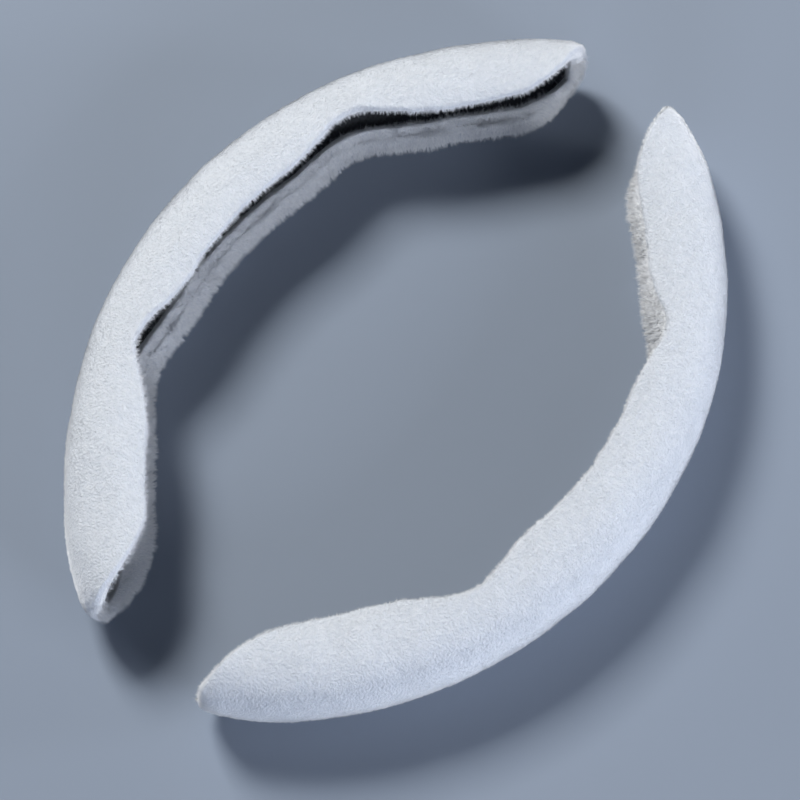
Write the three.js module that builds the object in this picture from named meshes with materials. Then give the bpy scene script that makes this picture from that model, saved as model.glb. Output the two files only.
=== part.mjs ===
// A split steering wheel cover of short plush: two equal halves that lie with their mouths facing.
// Each half is a channel bent along the wheel's rim. The plush turns in round its whole edge as a hem,
// and a dark grip liner lies in the pocket that the hem leaves on the inside.
// Millimetres and degrees, +Z up, the origin on the table under the middle of the pair.

import * as THREE from 'three';

// The wheel that the halves go round
const backRadius = 190; // ring centre to the outside of the plush
const armLength = 198.7; // middle of a half to its tip, along its back

// The channel's section, outside the plush
const channelDepth = 44.9; // along the wheel's radius
const channelHeight = 43.8; // before the pile is pressed down
const squareness = 2.16; // 2 gives an ellipse, more gives a boxier section
const restPress = 0.8; // how far the pile is pressed flat where the cover lies

// The cloth's outline, over the curve of the section from the middle of the back to an edge
const armWidth = 46.1; // between a spoke notch and the tip's taper
const middleWidth = 44.1; // between the two spoke notches
const lowerLip = 1.6; // how much further the lower edge reaches
const notchPlace = 80.6; // middle of a half to the middle of a spoke notch, along the back
const notchDepth = 7.5;
const notchLength = 23; // from the notch's middle to where it has nearly run out
const taperLength = 41; // the edge runs down to the tip over this length
const tipWidth = 20.6;
const tipRadius = 14; // corners of the tip

// The layers
const plushThickness = 3; // backing and pile
const hemWidth = 14; // the plush turned in along the mouth
const tipHemWidth = 9; // and at the tips
const hemSlope = 1; // the hem's free edge slopes down to the plush under it
const linerThickness = 1.2;
const clearance = 0.3; // between the liner and the plush on every side

// How the halves lie
const tipGap = 45.2; // between the backs of the two far tips
const turn = 1.4; // each half's turn that brings the far tips closer together
const slip = 0.86; // each half's shift along the other

// Facets
const facetsAlong = 36;
const facetsAcross = 9;
const hemFacets = 3;
const narrowShare = 0.4; // insets take no more than this share of the cloth's width from each edge
const rollAngles = [18, 54, 90]; // points on each half of the rolled edge, from its rim

/** The section as a closed curve from its innermost point round the bottom, the back and the top. */
class Section extends THREE.Curve {
  getPoint(t) {
    const angle = (2 * t - 1) * Math.PI;
    const rounded = (c) => Math.sign(c) * Math.abs(c) ** (2 / squareness);
    const x = (rounded(Math.cos(angle)) * channelDepth) / 2;
    const y = (rounded(Math.sin(angle)) * channelHeight) / 2;
    return new THREE.Vector3(x, y, 0);
  }
}

const section = new Section();
section.arcLengthDivisions = 720;
const sectionLength = section.getLength();

/** A point of the channel: along its back, over its section and down from the plush's outside. */
function channelPoint(along, across, depth) {
  const u = 0.5 + across / sectionLength;
  const outside = section.getPointAt(u);
  const tangent = section.getTangentAt(u);
  const radius = backRadius - channelDepth / 2 + outside.x - depth * tangent.y;
  const height = channelHeight / 2 + outside.y + depth * tangent.x;
  const angle = along / backRadius;
  return [radius * Math.cos(angle), radius * Math.sin(angle), Math.max(height - restPress, 0)];
}

/** The cloth's half width at a place along the back: spoke notches, then a taper to a rounded tip. */
function edgeWidth(along) {
  const beyond = Math.abs(along) - notchPlace;
  const side = THREE.MathUtils.smoothstep(beyond, -notchLength, notchLength);
  const straight = THREE.MathUtils.lerp(middleWidth, armWidth, side);
  const notched = straight - notchDepth * Math.exp(-((beyond / notchLength) ** 2));
  const toTip = armLength - Math.abs(along);
  const taper = 1 - Math.min(toTip / taperLength, 1);
  const tapered = notched - (notched - tipWidth) * taper ** 2;
  const corner = Math.max(tipRadius - toTip, 0);
  return tapered - tipRadius + Math.sqrt(tipRadius ** 2 - corner ** 2);
}

/** How much further the lower edge reaches, running out at the tips. */
function lipWidth(along) {
  return lowerLip * Math.min((armLength - Math.abs(along)) / tipRadius, 1);
}

/**
 * Places from one edge to the other: the insets from the low edge, an even field, and the insets from the
 * high edge. Insets shrink together where the cloth is too narrow for them.
 */
function spacing(low, high, insets, fieldSteps) {
  const last = insets[insets.length - 1];
  const shrink = Math.min(1, (narrowShare * (high - low)) / last);
  const start = insets.map((inset) => low + inset * shrink);
  const end = insets.map((inset) => high - inset * shrink).reverse();
  const field = Array.from({ length: fieldSteps - 1 }, (unused, k) =>
    THREE.MathUtils.lerp(start[start.length - 1], end[0], (k + 1) / fieldSteps));
  return [...start, ...field, ...end];
}

/**
 * A panel of the channel: a grid of points on its outer and its inner face, closed by a wall round the
 * rim. Each ring, from the rim inwards, gives its inset from the cloth's outline along the mouth and at
 * the tips, and both faces' depths.
 */
function panel(rings) {
  const insets = rings.map((ring) => ring.inset);
  const tipInsets = rings.map((ring) => ring.tipInset);
  const stations = spacing(-armLength, armLength, tipInsets, facetsAlong);
  const columns = stations.length;
  const rows = facetsAcross - 1 + 2 * insets.length;
  const positions = [];
  for (const face of ['outer', 'inner']) {
    stations.forEach((along, i) => {
      const width = edgeWidth(along);
      spacing(-width - lipWidth(along), width, insets, facetsAcross).forEach((across, j) => {
        const ring = Math.min(i, columns - 1 - i, j, rows - 1 - j, rings.length - 1);
        positions.push(...channelPoint(along, across, rings[ring][face]));
      });
    });
  }

  const outer = (i, j) => i * rows + j;
  const inner = (i, j) => columns * rows + outer(i, j);
  const indices = [];
  for (let i = 0; i < columns - 1; i += 1) {
    for (let j = 0; j < rows - 1; j += 1) {
      const [a, b, c, d] = [outer(i, j), outer(i + 1, j), outer(i + 1, j + 1), outer(i, j + 1)];
      const [e, f, g, h] = [inner(i, j), inner(i + 1, j), inner(i + 1, j + 1), inner(i, j + 1)];
      indices.push(a, b, c, a, c, d, e, g, f, e, h, g);
    }
  }

  const rim = [];
  for (let i = 0; i < columns - 1; i += 1) rim.push([i, 0]);
  for (let j = 0; j < rows - 1; j += 1) rim.push([columns - 1, j]);
  for (let i = columns - 1; i > 0; i -= 1) rim.push([i, rows - 1]);
  for (let j = rows - 1; j > 0; j -= 1) rim.push([0, j]);
  rim.forEach((from, k) => {
    const to = rim[(k + 1) % rim.length];
    indices.push(outer(...to), outer(...from), inner(...from));
    indices.push(outer(...to), inner(...from), inner(...to));
  });

  const geometry = new THREE.BufferGeometry();
  geometry.setAttribute('position', new THREE.Float32BufferAttribute(positions, 3));
  geometry.setIndex(indices);
  geometry.computeVertexNormals();
  return geometry;
}

/** The plush: folded double with a rolled rim as far as the hem reaches, and single inside it. */
function plushCover() {
  const folded = 2 * plushThickness;
  const roll = rollAngles.map((degrees) => {
    const angle = THREE.MathUtils.degToRad(degrees);
    const inset = plushThickness * (1 - Math.cos(angle));
    const drop = plushThickness * (1 - Math.sin(angle));
    return { inset, tipInset: inset, outer: drop, inner: folded - drop };
  });
  const hem = Array.from({ length: hemFacets }, (unused, k) => {
    const share = (k + 1) / hemFacets;
    const inset = THREE.MathUtils.lerp(plushThickness, hemWidth - hemSlope, share);
    const tipInset = THREE.MathUtils.lerp(plushThickness, tipHemWidth - hemSlope, share);
    return { inset, tipInset, outer: 0, inner: folded };
  });
  const single = { inset: hemWidth, tipInset: tipHemWidth, outer: 0, inner: plushThickness };
  return panel([...roll, ...hem, single]);
}

/** The grip liner: it lies on the single plush, inside the hem. */
function gripLiner() {
  const outer = plushThickness + clearance;
  const inset = hemWidth + clearance;
  return panel([{ inset, tipInset: tipHemWidth + clearance, outer, inner: outer + linerThickness }]);
}

const plushMaterial = new THREE.MeshStandardMaterial({ color: 0xe4e9f1, roughness: 1, metalness: 0 });
const linerMaterial = new THREE.MeshStandardMaterial({ color: 0x17191f, roughness: 0.75, metalness: 0 });
const plushGeometry = plushCover();
const linerGeometry = gripLiner();

/** How far each ring centre lies beyond the middle of the pair, so that the far tips keep their gap. */
const tipAngle = armLength / backRadius + THREE.MathUtils.degToRad(turn);
const spread = backRadius * Math.cos(tipAngle) - tipGap / 2;

/** One half, its ring centre across the middle of the pair from its own back. */
function half(side, name) {
  const group = new THREE.Group();
  const plush = new THREE.Mesh(plushGeometry, plushMaterial);
  plush.name = `${name}_plush_cover`;
  const liner = new THREE.Mesh(linerGeometry, linerMaterial);
  liner.name = `${name}_grip_liner`;
  group.add(plush, liner);
  group.rotation.z = THREE.MathUtils.degToRad(side > 0 ? turn : 180 - turn);
  group.position.set(-side * spread, -side * slip, 0);
  return group;
}

const pair = new THREE.Group();
pair.add(half(-1, 'left'), half(1, 'right'));
const middle = new THREE.Box3().setFromObject(pair, true).getCenter(new THREE.Vector3());
pair.position.set(-middle.x, -middle.y, 0);

const cover = new THREE.Group();
cover.add(pair);

export default cover;
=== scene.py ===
"""A split steering wheel cover of short white plush: two equal halves on a blue-grey table.

Each half is one cloth bent into a channel along the wheel's rim and turned in as a hem round its whole
edge, with a dark grip liner inside. A place on the cloth is given by two lengths and a depth: along the
back from the half's middle, across the section from the back to an edge, and down from the pile's tips.
"""

import math

import bpy
import numpy as np
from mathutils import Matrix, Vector


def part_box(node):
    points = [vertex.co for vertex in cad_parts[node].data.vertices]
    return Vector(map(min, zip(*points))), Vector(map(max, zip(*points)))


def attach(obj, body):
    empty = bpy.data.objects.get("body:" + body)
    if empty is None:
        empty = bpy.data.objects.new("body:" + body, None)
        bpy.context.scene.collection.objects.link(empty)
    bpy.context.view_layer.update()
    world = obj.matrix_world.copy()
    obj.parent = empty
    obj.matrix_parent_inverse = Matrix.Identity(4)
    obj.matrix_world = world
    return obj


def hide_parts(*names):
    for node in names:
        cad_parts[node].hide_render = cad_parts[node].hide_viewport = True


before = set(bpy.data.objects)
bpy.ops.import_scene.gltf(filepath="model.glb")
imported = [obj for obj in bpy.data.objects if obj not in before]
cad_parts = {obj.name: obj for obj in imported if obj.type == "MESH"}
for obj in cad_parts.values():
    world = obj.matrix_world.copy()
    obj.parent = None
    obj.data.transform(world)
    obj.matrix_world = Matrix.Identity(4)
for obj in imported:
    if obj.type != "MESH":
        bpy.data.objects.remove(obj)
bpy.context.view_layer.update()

# The channel, in metres, as in the part's source
BACK_RADIUS = 0.190
ARM_LENGTH = 0.1987
CHANNEL_DEPTH = 0.0449
CHANNEL_HEIGHT = 0.0438
SQUARENESS = 2.16
REST_PRESS = 0.0008

# The cloth's outline, as in the part's source
ARM_WIDTH = 0.0461
MIDDLE_WIDTH = 0.0441
LOWER_LIP = 0.0016
NOTCH_PLACE = 0.0806
NOTCH_DEPTH = 0.0075
NOTCH_LENGTH = 0.023
TAPER_LENGTH = 0.041
TIP_WIDTH = 0.0206
TIP_RADIUS = 0.014
NARROW_SHARE = 0.4

# The layers, and how each half is turned, as in the part's source
PLUSH = 0.003
HEM_WIDTH = 0.014
TIP_HEM_WIDTH = 0.009
HEM_SLOPE = 0.001
LINER = 0.0012
CLEARANCE = 0.0003
TURN = math.radians(1.4)
SIDES = {"left": math.pi - TURN, "right": TURN}

# Small differences between the sewn halves, first at the end with along above 0
REACH = {"left": (-0.0010, -0.0062), "right": (0.0015, 0.0035)}  # how much further an end reaches
SPLAY = {"left": (0.0034, 0.0038), "right": (0.0006, 0.0)}  # how far it splays outwards
REACH_START = 0.120  # both grow from here to the tip

# The upper lip's bells: each one's middle along the back, half length, power and height
LIP_BELLS = {
    "left": [(-0.128, 0.030, 2, 0.0033), (-0.073, 0.017, 2, -0.0022), (-0.032, 0.025, 2, 0.0010),
             (0.040, 0.012, 2, 0.0011), (0.070, 0.017, 2, -0.0029), (0.137, 0.045, 4, 0.0022)],
    "right": [(-0.126, 0.032, 2, 0.0040), (-0.040, 0.012, 2, 0.0020), (0.065, 0.017, 2, 0.0028),
              (0.091, 0.009, 2, -0.0019), (0.139, 0.043, 4, 0.0024)],
}

# The nose of each tip bends inwards
NOSE_LENGTH = 0.010
NOSE_DEPTH = 0.0030

# Waves in the cloth, each with its height and its length
EDGE_WAVES = [(0.0004, 0.017), (0.0004, 0.006)]
FACE_WAVES = [(0.0002, 0.0022), (0.00035, 0.012)]
HEM_WAVES = [(0.0010, 0.013), (0.0005, 0.005)]
LATTICE = (512, 128)  # random values along and across, more than the shortest wave needs

# How far the hem swells at the seam and at its free edge, and over what length it runs out there
ROLL_PUFF = 0.0024
HEM_PUFF = 0.0040
PUFF_END = 0.0025

# The seam that holds the hem
SEAM_INSET = 0.0066
SEAM_WIDTH = 0.0018
SEAM_DEPTH = 0.0004
STITCH = 0.0032  # from one stitch to the next
STITCH_PULL = 0.7  # shares of the depth: steady, with each stitch, and a slower stray
STITCH_BEAT = 0.3
STITCH_STRAY = 0.6
STRAY_LENGTH = 0.016

# The hem's pucker where it goes round a notch, and the crease that ends it
PUCKER_LENGTH = 0.010
PUCKER_SHIFT = 0.010
PUCKER_HEIGHT = 0.0024
PUCKER_START = 0.004
CREASE_LENGTH = 0.0022
CREASE_DEPTH = 0.0026
CROWN_POWER = 0.7  # less than 1 makes the hem's crown flatter

# The cloth under the pile
PILE = 0.0010
ROLL = PLUSH - PILE
BACKING_DROP = 0.0002
BACK_FLUFF = {"left": 0.0022, "right": 0.0028}  # how far the back stands out past the part's solids
FLUFF_WIDTH = 0.035
FLUFF_START = 0.036
TABLE_GAP = 0.0003
PLUSH_STEP = 0.0018
LINER_STEP = 0.004
CLOTH_SEED = {"left": 10, "right": 20}

# The hairs, several times as wide as real fibres so that they show
HAIRS = 49000  # in one piece of pile
HAIR_WIDTH = 0.00026
HAIR_LENGTH = 0.0007
LIP_HAIR_LENGTH = 0.0012
HEM_HAIR_LENGTH = 0.0030
UPPER_HEM_HAIR_LENGTH = {"left": 0.0025, "right": 0.0013}
ROOT_DEPTH = 0.0002
PILE_SEED = {"left": 30, "right": 40}

# Shares of a hair's full length and width: the least, and what its clump and chance add
LENGTH_LEAST = 0.85
LENGTH_CLUMP = 0.25
LENGTH_RANDOM = 0.35
WIDTH_LEAST = 0.8
WIDTH_RANDOM = 0.4

# How densely the hairs stand, against 1 on the back
PRESSED_HEIGHT = 0.003  # below this the cloth lies on the table
PRESSED_DENSITY = 0.2
LOWER_HEM_DENSITY = 2.4
UPPER_HEM_DENSITY = 0.4
LIP_DENSITY = 0.4  # added at the rim, outside
HEM_LIP_DENSITY = 0.3  # and inside
LIP_REACH = 1.3  # above 1, the lip's hairs go on past the roll
MIDDLE_OVERLAP = 0.0001

# How far the hairs lean: with their clump, in a broad sweep, by chance, on the hem and over the lips
CLUMP = 0.0017
CLUMP_LEAN = 0.25
SLOPE_STEP = 0.0002
SWEEP_LEAN = 0.5
SWEEP_LENGTH = 0.011
LOOSE = 0.6
HEM_FIRMNESS = 0.05
HEM_LEAN = 1.3
LIP_LEAN = 0.5
SLANT = 1.7
LIP_UPRIGHT = 0.9
LEAST_SPREAD = 0.05

# How far the shading turns, as light goes through the fibres, and how far it scatters
LIP_UPWARD = 0.5
HEM_UPWARD = 0.3
MOUTH_TURN = 0.9
SOFTNESS = 0.06
HEM_SOFTNESS = 0.28

# Each hair's brightness from 0 to 1: its middle, its painted light on the hem and lips, and how far its
# clump's painted shade in the hollows and chance move it
BRIGHTNESS = 0.45
HEM_PAINTED_LIGHT = 0.35
CONTRAST = 0.2
HEM_CONTRAST = 1.6
CLUMP_PAINTED_SHADE = 0.10
HAIR_SHADE = 0.14

# Sizes of the materials' patterns
TUFT_SIZE = 0.002
KNIT_SIZE = 0.001  # coarser than the real loops, so that it shows
NET_SIZE = 1 / 620  # about 1.6 mm between the net's threads
CLOUD_SIZE = 1 / 6
GRAIN_SIZE = 1 / 90
BUMP_STRENGTH = 0.8
INSIDE_PAINTED_LIGHT = 0.45  # how much whiter the backing is painted inside, as painted light on the hem, as a share of its colours

# The camera, found by fitting the channel's outline to the photograph
CAMERA_AZIMUTH = 38.05  # degrees
CAMERA_ELEVATION = 68.94
CAMERA_DISTANCE = 1.0724
CAMERA_TARGET = (0.00395, -0.0075, 0)
CAMERA_SENSOR = 36  # millimetres, as its lens
CAMERA_LENS = 115.1
TABLE_HALF = 6.0


def section_table(samples=1441):
    """The section by length from its back: a boxy ellipse.

    Each axis is half the channel's size times cos or sin to the power 2 / squareness, with its sign kept.
    """
    angle = np.linspace(-math.pi, math.pi, samples)

    def rounded(part):
        return np.sign(part) * np.abs(part) ** (2 / SQUARENESS)

    x = rounded(np.cos(angle)) * CHANNEL_DEPTH / 2
    z = rounded(np.sin(angle)) * CHANNEL_HEIGHT / 2
    length = np.concatenate([[0], np.cumsum(np.hypot(np.diff(x), np.diff(z)))])
    across = length - length[samples // 2]
    return across, x, z, np.gradient(x, across), np.gradient(z, across)


SECTION = section_table()


def channel(along, across, depth):
    """Points of the channel: the section's point, moved inwards by depth, carried round the ring."""
    x, z, run_x, run_z = (np.interp(across, SECTION[0], column) for column in SECTION[1:])
    radius = BACK_RADIUS - CHANNEL_DEPTH / 2 + x - depth * run_z
    height = CHANNEL_HEIGHT / 2 + z + depth * run_x - REST_PRESS
    angle = along / BACK_RADIUS
    return np.stack([radius * np.cos(angle), radius * np.sin(angle), height], -1)


def edge_width(along):
    """Half width of the cloth: the straight edge, less a bell at the notch, run down to a rounded tip."""
    beyond = np.abs(along) - NOTCH_PLACE
    step = np.clip((beyond + NOTCH_LENGTH) / (2 * NOTCH_LENGTH), 0, 1)
    straight = MIDDLE_WIDTH + (ARM_WIDTH - MIDDLE_WIDTH) * step**2 * (3 - 2 * step)
    notched = straight - NOTCH_DEPTH * np.exp(-((beyond / NOTCH_LENGTH) ** 2))
    to_tip = ARM_LENGTH - np.abs(along)
    taper = 1 - np.minimum(to_tip / TAPER_LENGTH, 1)
    corner = np.maximum(TIP_RADIUS - to_tip, 0)
    return notched - (notched - TIP_WIDTH) * taper**2 - TIP_RADIUS + np.sqrt(TIP_RADIUS**2 - corner**2)


def lip_width(along):
    """How much further the lower edge reaches, run out over the tip's corner."""
    return LOWER_LIP * np.minimum((ARM_LENGTH - np.abs(along)) / TIP_RADIUS, 1)


def lip_more(side, along):
    """How much wider the cloth is at the upper lip: the sum of height times exp(-(distance ** power))."""
    return sum(height * np.exp(-(((along - place) / length) ** power))
               for place, length, power, height in LIP_BELLS[side])


def turned(points, angle):
    """Points turned about the ring's axis."""
    c, s = math.cos(angle), math.sin(angle)
    x, y = points[..., 0], points[..., 1]
    return np.stack([x * c - y * s, x * s + y * c, points[..., 2]], -1)


def places(stations=400, rows=100):
    """Each half's turn and shift: its outer surface, turned, has the middle of its CAD node's box."""
    back, section = np.linspace(-ARM_LENGTH, ARM_LENGTH, stations), np.linspace(-1, 1, rows)
    along, share = np.meshgrid(back, section, indexing="ij")
    outside = channel(along, share * edge_width(along), 0 * along)
    found = {}
    for side, angle in SIDES.items():
        points = turned(outside, angle).reshape(-1, 3)
        low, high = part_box(side + "_plush_cover")
        middle = (np.array(low) + np.array(high)) / 2 - (points.min(0) + points.max(0)) / 2
        found[side] = (angle, np.array([middle[0], middle[1], 0]))
    return found


PLACES = places()


def on_half(side, along, across, depth):
    """Points of one half where it lies, with its own reach, splay and noses, kept just above the table."""
    angle, shift = PLACES[side]
    past = np.clip((np.abs(along) - REACH_START) / (ARM_LENGTH - REACH_START), 0, 1)
    nose = np.clip(1 - (ARM_LENGTH - np.abs(along)) / NOSE_LENGTH, 0, 1)
    depth = depth + NOSE_DEPTH * nose**2
    stretched = along + np.sign(along) * np.where(along > 0, *REACH[side]) * past**2
    splay = np.where(along > 0, *SPLAY[side]) * past**2
    points = channel(stretched, across, depth)
    points[..., :2] *= (1 + splay / BACK_RADIUS)[..., None]
    points = turned(points, angle) + shift
    points[..., 2] = np.maximum(points[..., 2], TABLE_GAP)
    return points


def wave(along, across, cell, seed):
    """Smooth noise from -1 to 1 over the cloth: random values on a square lattice, eased between nodes."""
    long, wide = LATTICE
    lattice = np.random.default_rng(seed).uniform(-1, 1, LATTICE)
    u, v = along / cell + long / 2, across / cell + wide / 2
    i, j = np.floor(u).astype(int), np.floor(v).astype(int)
    s, t = u - i, v - j
    s, t = s * s * (3 - 2 * s), t * t * (3 - 2 * t)
    corner = [lattice[(i + a) % long, (j + b) % wide] for a in (0, 1) for b in (0, 1)]
    return (1 - s) * ((1 - t) * corner[0] + t * corner[1]) + s * ((1 - t) * corner[2] + t * corner[3])


def waves(along, across, parts, seed):
    """A sum of smooth noises, each with its own height and length."""
    return sum(height * wave(along, across, cell, seed + k) for k, (height, cell) in enumerate(parts))


def edge_waver(along, seed):
    """How far an edge strays from its line: waves of two lengths, run out at the tips."""
    steady = np.minimum((ARM_LENGTH - np.abs(along)) / TAPER_LENGTH, 1)
    return steady * waves(along, 0 * along, EDGE_WAVES, seed)


def graded(low, high, insets, step):
    """Places from low to high on each row: its insets from both ends, and even steps between them."""
    start, end = low[:, None] + insets, high[:, None] - insets[:, ::-1]
    count = max(2, round(float(np.max(end[:, 0] - start[:, -1])) / step))
    share = np.linspace(0, 1, count + 1)[1:-1]
    inner = start[:, -1:] + (end[:, :1] - start[:, -1:]) * share
    return np.concatenate([start, inner, end], 1)


def sheet_grid(side, insets, tip_insets, step, seed=None):
    """Along and across of each point of one face of a layer, and its ring's number from the rim inwards.

    With a seed, the edges waver. Insets shrink together where the cloth is too narrow for them.
    """
    reach = np.array([ARM_LENGTH])
    along = graded(-reach, reach, tip_insets[None], step)[0]
    high = edge_width(along)
    low = -high - lip_width(along)
    high = high + lip_more(side, along)
    if seed is not None:
        high = high + edge_waver(along, seed)
        low = low - edge_waver(along, seed + 2)
    shrink = np.minimum(1, NARROW_SHARE * (high - low) / insets[-1])
    across = graded(low, high, insets * shrink[:, None], step)
    rows, columns = (np.minimum(np.arange(n), np.arange(n)[::-1]) for n in across.shape)
    ring = np.minimum(np.minimum(rows[:, None], columns[None]), len(insets) - 1)
    return np.broadcast_to(along[:, None], across.shape), across, ring


def grid_faces(index, outward=True):
    """Quads between neighbouring points of a grid of point numbers."""
    first, last = (index[1:, :-1], index[:-1, 1:]) if outward else (index[:-1, 1:], index[1:, :-1])
    return np.stack([index[:-1, :-1], first, index[1:, 1:], last], -1).reshape(-1, 4)


def closed_pair(outer, inner, *values):
    """Two grids of points that share their rim, as one closed surface, with each point's value if given."""
    rows, columns = outer.shape[:2]
    points = np.concatenate([outer.reshape(-1, 3), inner.reshape(-1, 3)])
    index = np.arange(rows * columns).reshape(rows, columns)
    rim = np.ones((rows, columns), bool)
    rim[1:-1, 1:-1] = False
    joined = np.where(rim, index, index + rows * columns)
    faces = np.concatenate([grid_faces(index), grid_faces(joined, outward=False)])
    used, faces = np.unique(faces, return_inverse=True)
    found = [np.concatenate([value.ravel() for value in values])[used]] if values else []
    return points[used], faces.reshape(-1, 4), *found


def add_mesh(name, points, faces, material, smooth=True):
    """A mesh object at the origin, filled from arrays of points and of equal faces."""
    mesh = bpy.data.meshes.new(name)
    corners = faces.shape[1]
    mesh.vertices.add(len(points))
    mesh.vertices.foreach_set("co", points.astype(np.float32).ravel())
    mesh.loops.add(faces.size)
    mesh.loops.foreach_set("vertex_index", faces.astype(np.int32).ravel())
    mesh.polygons.add(len(faces))
    mesh.polygons.foreach_set("loop_start", np.arange(0, faces.size, corners, dtype=np.int32))
    mesh.update(calc_edges=True)
    mesh.validate()
    mesh.polygons.foreach_set("use_smooth", np.full(len(mesh.polygons), smooth))
    mesh.materials.append(material)
    piece = bpy.data.objects.new(name, mesh)
    bpy.context.scene.collection.objects.link(piece)
    return piece


def add_attribute(piece, label, values):
    """One number for each point of a piece, which its material reads."""
    attribute = piece.data.attributes.new(label, "FLOAT", "POINT")
    attribute.data.foreach_set("value", values.astype(np.float32))


def linear(code):
    """An sRGB hex colour as linear RGBA."""
    parts = [int(code[i:i + 2], 16) / 255 for i in (1, 3, 5)]
    return [p / 12.92 if p <= 0.04045 else ((p + 0.055) / 1.055) ** 2.4 for p in parts] + [1.0]


def material_named(name, roughness):
    """A new node material and its Principled shader."""
    material = bpy.data.materials.new(name)
    material.use_nodes = True
    shader = material.node_tree.nodes["Principled BSDF"]
    shader.inputs["Roughness"].default_value = roughness
    return material, shader


def connect(material, node, links):
    """Other nodes' outputs into a node's inputs."""
    for name, output in links.items():
        material.node_tree.links.new(output, node.inputs[name])


def add_node(material, kind, settings=None, values=None, links=None, stops=()):
    """A node with its settings, socket values, links into its inputs, and a ramp's places and colours."""
    node = material.node_tree.nodes.new(kind)
    for name, value in (settings or {}).items():
        setattr(node, name, value)
    for name, value in (values or {}).items():
        node.inputs[name].default_value = value
    connect(material, node, links or {})
    for place, code in stops[2:]:
        node.color_ramp.elements.new(place)
    for k, (place, code) in enumerate(stops):
        node.color_ramp.elements[k].position = place
        node.color_ramp.elements[k].color = linear(code)
    return node


def fuzz(shader, weight):
    """The pale glow that fine fibres give a cloth where it is seen from the side."""
    shader.inputs["Sheen Weight"].default_value = weight
    shader.inputs["Sheen Roughness"].default_value = 0.4


def plush_backing():
    """Knitted polyester backing of the plush, seen between the hairs.

    It is matt and painted greyer than they are, as painted shade between the hairs, in soft tufts, and
    painted whiter on the inside, as painted light on the hem.
    """
    material, shader = material_named("polyester_plush_backing", 0.95)
    fuzz(shader, 1.0)
    place = add_node(material, "ShaderNodeTexCoord").outputs["Object"]
    painted_inside_light = add_node(material, "ShaderNodeAttribute", {"attribute_name": "painted_inside_light"}).outputs["Fac"]
    tufts = add_node(material, "ShaderNodeTexNoise", values={"Scale": 1 / TUFT_SIZE},
                     links={"Vector": place}).outputs["Fac"]
    knit = add_node(material, "ShaderNodeTexNoise", values={"Scale": 1 / KNIT_SIZE},
                    links={"Vector": place}).outputs["Fac"]
    # The mottle is half the tufts plus the painted light inside; the greyer colours outside are painted
    # shade between the hairs
    tufts_and_painted_light = add_node(material, "ShaderNodeMath", {"operation": "MULTIPLY_ADD"}, {1: 0.5},
                      {0: tufts, 2: painted_inside_light}).outputs["Value"]
    colour = add_node(material, "ShaderNodeValToRGB", links={"Fac": tufts_and_painted_light},
                      stops=[(0.1, "#cdd3dc"), (0.4, "#dde1e8"), (0.7, "#f6f8fb")])
    bump = add_node(material, "ShaderNodeBump", values={"Distance": 0.0009, "Strength": BUMP_STRENGTH},
                    links={"Height": knit})
    connect(material, shader, {"Base Color": colour.outputs["Color"], "Normal": bump.outputs["Normal"]})
    return material


def plush_pile():
    """Short white polyester pile, cut and brushed.

    Each hair is painted darker at its root, as painted shade among the hairs, and has its own brightness,
    with painted light on the hem and lips and painted shade in the clumps' hollows; it reads as fine soft
    fluff with a faint sheen.
    """
    material, shader = material_named("polyester_plush_pile", 0.85)
    fuzz(shader, 0.9)
    lift = add_node(material, "ShaderNodeAttribute", {"attribute_name": "lift"}).outputs["Fac"]
    shade = add_node(material, "ShaderNodeAttribute", {"attribute_name": "shade"}).outputs["Fac"]
    # Painted shade: each hair is darker towards its root, where the hairs around it shade it
    painted_root_shade = add_node(material, "ShaderNodeValToRGB", links={"Fac": lift},
                         stops=[(0.0, "#dce0e7"), (0.5, "#f0f2f6"), (1.0, "#fafbfd")])
    # The hairs' own tone by chance, with painted light on the hem and lips and painted shade in the clumps'
    # hollows
    tone_and_painted_light = add_node(material, "ShaderNodeValToRGB", links={"Fac": shade},
                   stops=[(0.0, "#c3cad4"), (0.5, "#f0f2f6"), (1.0, "#ffffff")])
    # Inputs 6 and 7 and output 2 are the Mix node's two colours and their product
    mixed = add_node(material, "ShaderNodeMix", {"data_type": "RGBA", "blend_type": "MULTIPLY"},
                     {"Factor": 1.0}, {6: painted_root_shade.outputs["Color"], 7: tone_and_painted_light.outputs["Color"]})
    connect(material, shader, {"Base Color": mixed.outputs[2]})
    return material


def rubber_liner():
    """Black grip liner of rubber-coated mesh: matt, near black, with a fine net of raised threads."""
    material, shader = material_named("rubber_grip_mesh", 0.7)
    place = add_node(material, "ShaderNodeTexCoord").outputs["Object"]
    net = add_node(material, "ShaderNodeTexVoronoi", values={"Scale": 1 / NET_SIZE, "Randomness": 0.25},
                   links={"Vector": place}).outputs["Distance"]
    colour = add_node(material, "ShaderNodeValToRGB", links={"Fac": net},
                      stops=[(0.1, "#0d0f13"), (0.6, "#20242b")])
    bump = add_node(material, "ShaderNodeBump", values={"Distance": 0.0004, "Strength": BUMP_STRENGTH},
                    links={"Height": net})
    connect(material, shader, {"Base Color": colour.outputs["Color"], "Normal": bump.outputs["Normal"]})
    return material


def table_top():
    """A plain blue-grey painted table: matt, with a faint unevenness that keeps it from looking flat."""
    material, shader = material_named("matt_table", 0.9)
    place = add_node(material, "ShaderNodeTexCoord").outputs["Object"]
    clouds = add_node(material, "ShaderNodeTexNoise", values={"Scale": 1 / CLOUD_SIZE},
                      links={"Vector": place}).outputs["Fac"]
    grain = add_node(material, "ShaderNodeTexNoise", values={"Scale": 1 / GRAIN_SIZE},
                     links={"Vector": place}).outputs["Fac"]
    colour = add_node(material, "ShaderNodeValToRGB", links={"Fac": clouds},
                      stops=[(0.3, "#8791a0"), (0.7, "#8993a2")])
    bump = add_node(material, "ShaderNodeBump", values={"Distance": 0.0001, "Strength": BUMP_STRENGTH},
                    links={"Height": grain})
    connect(material, shader, {"Base Color": colour.outputs["Color"], "Normal": bump.outputs["Normal"]})
    return material


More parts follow.
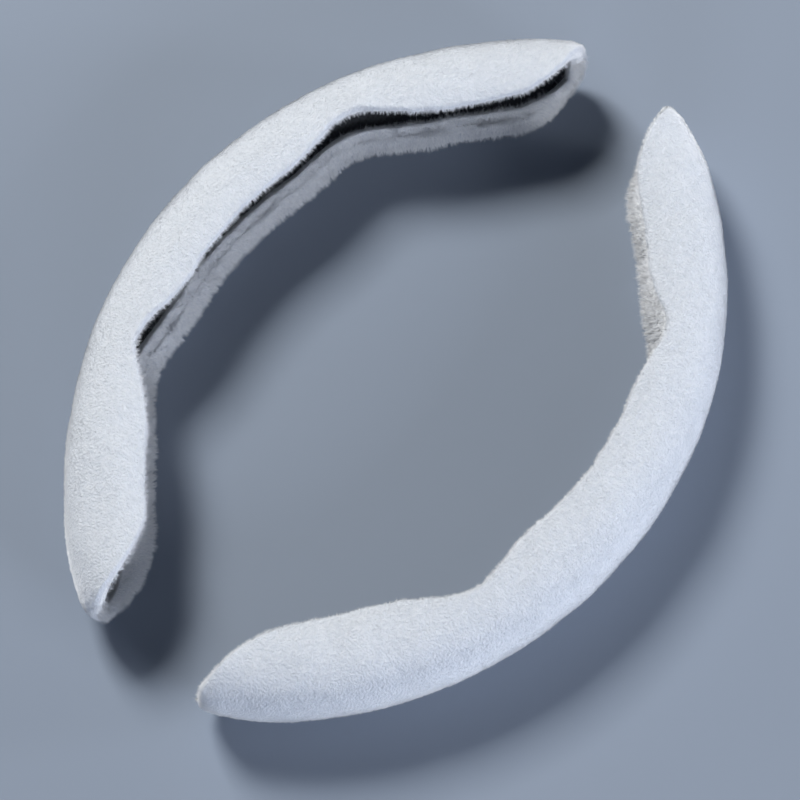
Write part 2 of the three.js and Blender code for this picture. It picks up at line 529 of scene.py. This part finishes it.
def layer_rings():
    """The plush's rings from the rim inwards, and the numbers of the last ones of the roll and of the hem.

    Each ring has its inset along the mouth and at the tips, and both faces' depths. The roll is a quarter
    turn, five rings go over the seam, and the hem's free edge slopes down to the single cloth.
    """
    roll = np.radians(np.arange(0, 91, 15))
    roll_inset = PILE + ROLL * (1 - np.cos(roll))
    drop = ROLL * (1 - np.sin(roll))
    hem_end = HEM_WIDTH - HEM_SLOPE
    seam = SEAM_INSET + SEAM_WIDTH * np.arange(-2, 3) / 2
    hem = np.concatenate([[(PLUSH + seam[0]) / 2], seam, np.linspace(seam[-1], hem_end, 4)[1:]])
    tip_hem = PLUSH + (hem - PLUSH) * (TIP_HEM_WIDTH - HEM_SLOPE - PLUSH) / (hem_end - PLUSH)
    inset = np.concatenate([roll_inset, hem, [HEM_WIDTH - HEM_SLOPE / 2, HEM_WIDTH]])
    tip_inset = np.concatenate([roll_inset, tip_hem, [TIP_HEM_WIDTH - HEM_SLOPE / 2, TIP_HEM_WIDTH]])
    folded = 2 * PLUSH - PILE
    outer = PILE + np.concatenate([drop, 0 * hem, [0, 0]])
    inner = np.concatenate([folded - drop, 0 * hem + folded, [(folded + PLUSH) / 2, PLUSH]])
    return inset, tip_inset, outer, inner, len(roll) - 1, len(roll) + len(hem) - 1


RING_INSET, RING_TIP_INSET, RING_OUTER, RING_INNER, ROLL_END, HEM_END = layer_rings()


def hem_relief(along, across, ring, seed):
    """How far the hem stands off its flat shape.

    It is the sum of the hem's waves, a pucker with a crease at each notch, both highest on the middle of
    the hem, and a swelling from rim to free edge, less the groove of the seam.
    """
    share = np.clip((ring - ROLL_END) / (HEM_END - ROLL_END), 0, 1)
    crown = np.sin(math.pi * share) ** CROWN_POWER
    inset = RING_INSET[ring]
    strip = crown * np.clip((inset - SEAM_INSET) / PUCKER_START, 0, 1)
    relief = crown * waves(along, across, HEM_WAVES, seed)
    for place in (-NOTCH_PLACE, NOTCH_PLACE):
        outward = (along - place) * np.sign(place)
        pucker = np.exp(-(((outward - PUCKER_SHIFT) / PUCKER_LENGTH) ** 2))
        crease = np.exp(-(((outward - PUCKER_SHIFT - PUCKER_LENGTH) / CREASE_LENGTH) ** 2))
        relief = relief + strip * (PUCKER_HEIGHT * pucker - CREASE_DEPTH * crease)
    stitches = STITCH_PULL + STITCH_BEAT * np.cos(2 * math.pi * along / STITCH)
    stitches = stitches + STITCH_STRAY * wave(along, 0 * along, STRAY_LENGTH, seed + 7)
    groove = np.exp(-(((inset - SEAM_INSET) / (SEAM_WIDTH / 2)) ** 2))
    puff = ROLL_PUFF * np.sin(math.pi / 2 * np.minimum(inset / SEAM_INSET, 1))
    puff = puff + (HEM_PUFF - ROLL_PUFF) * np.clip((inset - SEAM_INSET) / (HEM_WIDTH - SEAM_INSET), 0, 1)
    puff = puff * np.clip((HEM_WIDTH - inset) / PUFF_END, 0, 1)
    return relief + puff - SEAM_DEPTH * stitches * groove


def back_fluff(side, along, across):
    """How far the pile stands out along the back: cos squared across it, run out smoothly at the tips."""
    bell = np.cos(math.pi / 2 * np.minimum(np.abs(across) / FLUFF_WIDTH, 1)) ** 2
    inward = np.clip((ARM_LENGTH - np.abs(along)) / FLUFF_START, 0, 1)
    return BACK_FLUFF[side] * bell * inward**2 * (3 - 2 * inward)


def cloth_faces(side):
    """The plush under its pile: its grid's along, across and ring, and the points of both its faces."""
    seed = CLOTH_SEED[side]
    along, across, ring = sheet_grid(side, RING_INSET, RING_TIP_INSET, PLUSH_STEP, seed + 5)
    uneven = waves(along, across, FACE_WAVES, seed) * np.minimum(ring / ROLL_END, 1)
    depth = RING_OUTER[ring] + BACKING_DROP + uneven - back_fluff(side, along, across)
    outer = on_half(side, along, across, depth)
    relief = np.where(ring <= HEM_END, hem_relief(along, across, ring, seed + 2), 0)
    under = on_half(side, along, across, RING_INNER[ring] + relief)
    rim = ring == 0
    under[rim] = outer[rim]
    return along, across, ring, outer, under


def unit(vectors):
    """Vectors made one long."""
    return vectors / np.maximum(np.linalg.norm(vectors, axis=-1, keepdims=True), 1e-12)


def lip_share(rings):
    """1 at the rim and 0 past the roll, by the ring's number."""
    return np.clip(LIP_REACH - rings / ROLL_END, 0, 1)


def roots(rng, along, across, ring, points, density, facing):
    """A function that gives hairs' roots on a grid of points, and the sum of area times density.

    Each cell has hairs by its area times its density. A root has its point, normal, direction along the
    back, along, across and ring, each taken between the cell's four corners.
    """
    run_i, run_j = np.gradient(points, axis=0), np.gradient(points, axis=1)
    crossed = np.cross(run_i, run_j) * facing
    area = np.linalg.norm(crossed, axis=-1)
    cell = (area * density)[:-1, :-1].ravel()

    def take(count):
        total = np.cumsum(cell)
        pick = np.searchsorted(total, (np.arange(count) + rng.random(count)) / count * total[-1])
        i, j = np.divmod(np.minimum(pick, len(cell) - 1), points.shape[1] - 1)
        s, t = rng.random((2, count))

        def between(grid):
            shape = (-1,) + (1,) * (grid.ndim - 2)
            a, b = s.reshape(shape), t.reshape(shape)
            near = (1 - b) * grid[i, j] + b * grid[i, j + 1]
            return (1 - a) * near + a * ((1 - b) * grid[i + 1, j] + b * grid[i + 1, j + 1])

        grids = (points, unit(crossed), unit(run_i), along, across, ring.astype(float))
        return [between(grid) for grid in grids]

    return take, cell.sum()


def pile(side, material):
    """The pile of one half, in a far and a near piece: hairs on the outer face and on the hem."""
    along, across, ring, outer, under = cloth_faces(side)
    rng = np.random.default_rng(PILE_SEED[side])
    lip = lip_share(ring)
    pressed = outer[..., 2] < PRESSED_HEIGHT
    outer_density = np.where(pressed, PRESSED_DENSITY, 1 + LIP_DENSITY * lip)
    hem_density = np.where(across < 0, LOWER_HEM_DENSITY, UPPER_HEM_DENSITY) * (1 + HEM_LIP_DENSITY * lip)
    hem_density = (ring <= HEM_END) * hem_density
    pieces = []
    for end, sign in (("far", 1), ("near", -1)):
        here = along * sign >= -MIDDLE_OVERLAP
        outer_roots, outer_total = roots(rng, along, across, ring, outer, here * outer_density, 1)
        hem_roots, hem_total = roots(rng, along, across, ring, under, here * hem_density, -1)
        outer_count = round(HAIRS * (outer_total / (outer_total + hem_total)))
        hem_count = HAIRS - outer_count
        taken = [outer_roots(outer_count), hem_roots(hem_count)]
        root, normal, run, u, v, rings = (np.concatenate(both) for both in zip(*taken))
        on_hem = np.concatenate([np.zeros(outer_count), np.ones(hem_count)])
        hem_length = np.where(v > 0, UPPER_HEM_HAIR_LENGTH[side], HEM_HAIR_LENGTH)
        full = HAIR_LENGTH + np.maximum((LIP_HAIR_LENGTH - HAIR_LENGTH) * lip_share(rings),
                                        (hem_length - HAIR_LENGTH) * on_hem)
        grown = (root, unit(normal), unit(run), u, v, lip_share(rings), on_hem, full)
        pieces.append(hairs(f"{side}_pile_{end}", rng, PILE_SEED[side], grown, material))
    return pieces


def hair_lean(rng, seed, u, v, lip, on_hem):
    """Each hair's lean along and across the cloth, and its clump's height.

    The lean is the slope of the clumps, so that tips gather, plus a random part, a broad sweep, and a
    part outwards over the lips or towards the mouth on the hem. Hairs at the lips stand more upright.
    """
    height = wave(u, v, CLUMP, seed + 2)
    slope_u = (wave(u + SLOPE_STEP, v, CLUMP, seed + 2) - height) / SLOPE_STEP * CLUMP
    slope_v = (wave(u, v + SLOPE_STEP, CLUMP, seed + 2) - height) / SLOPE_STEP * CLUMP
    jitter = rng.normal(0, 1, (2, len(u)))
    loose = LOOSE - HEM_FIRMNESS * on_hem
    lean_u = CLUMP_LEAN * slope_u + loose * jitter[0] + SWEEP_LEAN * wave(u, v, SWEEP_LENGTH, seed + 3)
    lean_v = CLUMP_LEAN * slope_v + loose * jitter[1] + SWEEP_LEAN * wave(u, v, SWEEP_LENGTH, seed + 4)
    lean_v = lean_v - HEM_LEAN * on_hem * np.sign(v) + LIP_LEAN * (1 - on_hem) * lip * np.sign(v)
    slant = SLANT - LIP_UPRIGHT * lip
    return lean_u * slant, lean_v * slant, height


def spikes(rng, root, normal, run, lean, length):
    """Closed tetrahedra: three base points just under the cloth, and a tip at length along the lean."""
    count = len(root)
    tip = root + unit(normal + lean) * length[:, None]
    spread = unit(lean + LEAST_SPREAD * run)
    beside = unit(np.cross(spread, normal))
    base = root - ROOT_DEPTH * normal
    wide = 0.5 * HAIR_WIDTH * (WIDTH_LEAST + WIDTH_RANDOM * rng.random(count))[:, None]
    points = np.stack([base + beside * wide, base - beside * wide, base + spread * wide, tip], 1)
    points[..., 2] = np.maximum(points[..., 2], TABLE_GAP)
    order = np.array([[0, 3, 1], [1, 3, 2], [2, 3, 0], [0, 1, 2]])
    faces = (4 * np.arange(count)[:, None, None] + order).reshape(-1, 3)
    return points.reshape(-1, 3), faces


def hairs(name, rng, seed, grown, material):
    """One piece of pile: a spike for each hair, shaded softly as a whole and each of its own brightness.

    Each hair comes with its root, the cloth's normal and direction there, its place along and across, how
    near the lip it is, whether it is on the hem, and its full length. A spike's four points share one
    shading normal: the cloth's, plus a part upwards, on the hem a part towards the mouth, and chance.
    Its brightness holds painted light on the hem and lips, and painted shade in its clump's hollows.
    """
    root, normal, run, u, v, lip, on_hem, full = grown
    count = len(root)
    cross_run = np.cross(normal, run)
    lean_u, lean_v, height = hair_lean(rng, seed, u, v, lip, on_hem)
    lean = lean_u[:, None] * run + lean_v[:, None] * cross_run
    length = full * (LENGTH_LEAST + LENGTH_CLUMP * height + LENGTH_RANDOM * rng.random(count))
    points, faces = spikes(rng, root, normal, run, lean, length)
    piece = add_mesh(name, points, faces, material)

    lit = np.maximum(LIP_UPWARD * lip, HEM_UPWARD * on_hem)[:, None] * np.array([0, 0, 1.0])
    lit = lit - (MOUTH_TURN * on_hem * np.sign(v))[:, None] * cross_run
    scatter = SOFTNESS + HEM_SOFTNESS * np.maximum(on_hem, 0.5 * lip)
    soft = unit(normal + lit + scatter[:, None] * rng.normal(0, 1, (count, 3)))
    piece.data.normals_split_custom_set_from_vertices(np.repeat(soft, 4, 0).astype(np.float32))

    # Painted shade darkens hairs in the clumps' hollows, and painted light whitens those on the hem and
    # lips
    clump_shade_and_chance = CLUMP_PAINTED_SHADE * height + HAIR_SHADE * rng.normal(0, 1, count)
    base_and_painted_hem_light = BRIGHTNESS + HEM_PAINTED_LIGHT * np.maximum(on_hem, lip)
    shade = base_and_painted_hem_light + (CONTRAST + HEM_CONTRAST * on_hem) * clump_shade_and_chance
    add_attribute(piece, "lift", np.tile([0.0, 0.0, 0.0, 1.0], count))
    add_attribute(piece, "shade", np.repeat(np.clip(shade, 0, 1), 4))
    return piece


def plush_skin(side, material):
    """The cloth under the pile: outer face, rolled rim, hem, and the single layer under the liner."""
    _, _, ring, outer, under = cloth_faces(side)
    # The inside face carries painted light, which whitens the hem
    points, faces, painted_inside_light = closed_pair(outer, under, 0.0 * ring, INSIDE_PAINTED_LIGHT + 0.0 * ring)
    piece = add_mesh(side + "_plush", points, faces, material)
    add_attribute(piece, "painted_inside_light", painted_inside_light)
    return piece


def grip_liner(side, material):
    """The liner: a thin layer on the single plush, inside the hem."""
    edge = np.array([CLEARANCE, CLEARANCE + LINER / 2])
    along, across, ring = sheet_grid(side, HEM_WIDTH + edge, TIP_HEM_WIDTH + edge, LINER_STEP)
    rise = np.minimum(ring, 1) * LINER / 2
    middle = PLUSH + CLEARANCE + LINER / 2
    outer = on_half(side, along, across, middle - rise)
    inner = on_half(side, along, across, middle + rise)
    points, faces = closed_pair(outer, inner)
    return add_mesh(side + "_liner", points, faces, material)


def direction(azimuth, elevation):
    """The direction from the table towards a camera or lamp, its angles in degrees."""
    a, e = math.radians(azimuth), math.radians(elevation)
    return Vector((math.sin(a) * math.cos(e), -math.cos(a) * math.cos(e), math.sin(e)))


def stand(name, data, target, towards, distance):
    """A camera or lamp in the given direction from its target, and facing it."""
    thing = bpy.data.objects.new(name, data)
    thing.location = target + towards * distance
    thing.rotation_euler = (-towards).to_track_quat("-Z", "Y").to_euler()
    bpy.context.scene.collection.objects.link(thing)
    return thing


def lamp(name, azimuth, elevation, distance, width, power, colour):
    """A square lamp that faces the middle of the table, its azimuth counted from the camera's."""
    data = bpy.data.lights.new(name, "AREA")
    data.size = width
    data.energy = power
    data.color = linear(colour)[:3]
    stand(name, data, Vector((0, 0, 0)), direction(CAMERA_AZIMUTH + azimuth, elevation), distance)


def stage_and_light():
    """The table, the camera, a soft key from the upper left, four weaker fills low from the right and the
    front, and a faint blue sky."""
    camera_data = bpy.data.cameras.new("camera")
    camera_data.sensor_width = CAMERA_SENSOR
    camera_data.lens = CAMERA_LENS
    towards = direction(CAMERA_AZIMUTH, CAMERA_ELEVATION)
    camera = stand("camera", camera_data, Vector(CAMERA_TARGET), towards, CAMERA_DISTANCE)
    bpy.context.scene.camera = camera

    corners = TABLE_HALF * np.array([[-1, -1, 0], [1, -1, 0], [1, 1, 0], [-1, 1, 0]])
    floor = add_mesh("table", corners, np.array([[0, 1, 2, 3]]), table_top(), smooth=False)

    lamp("key", -145, 46, 2.6, 0.82, 78, "#fffffd")
    lamp("right_fill", 50, 18, 2.2, 0.9, 25, "#f0f5ff")
    lamp("low_fill", 90, 6, 2.2, 0.3, 22, "#f6f9ff")
    lamp("front_fill", 0, 11, 2.2, 0.6, 15, "#e4edff")
    lamp("side_fill", 80, 40, 2.2, 1.4, 3, "#e6eeff")

    world = bpy.data.worlds.new("studio")
    world.use_nodes = True
    world.node_tree.nodes["Background"].inputs["Color"].default_value = linear("#8fb0e6")
    world.node_tree.nodes["Background"].inputs["Strength"].default_value = 0.03
    bpy.context.scene.world = world
    bpy.context.scene.view_settings.view_transform = "Standard"


stage_and_light()
backing = plush_backing()
pile_fibre = plush_pile()
rubber = rubber_liner()
for side_name in SIDES:
    skin = plush_skin(side_name, backing)
    for cloth_piece in [skin] + pile(side_name, pile_fibre):
        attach(cloth_piece, "root")
        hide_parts(side_name + "_plush_cover")
    liner = grip_liner(side_name, rubber)
    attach(liner, "root")
    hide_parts(side_name + "_grip_liner")
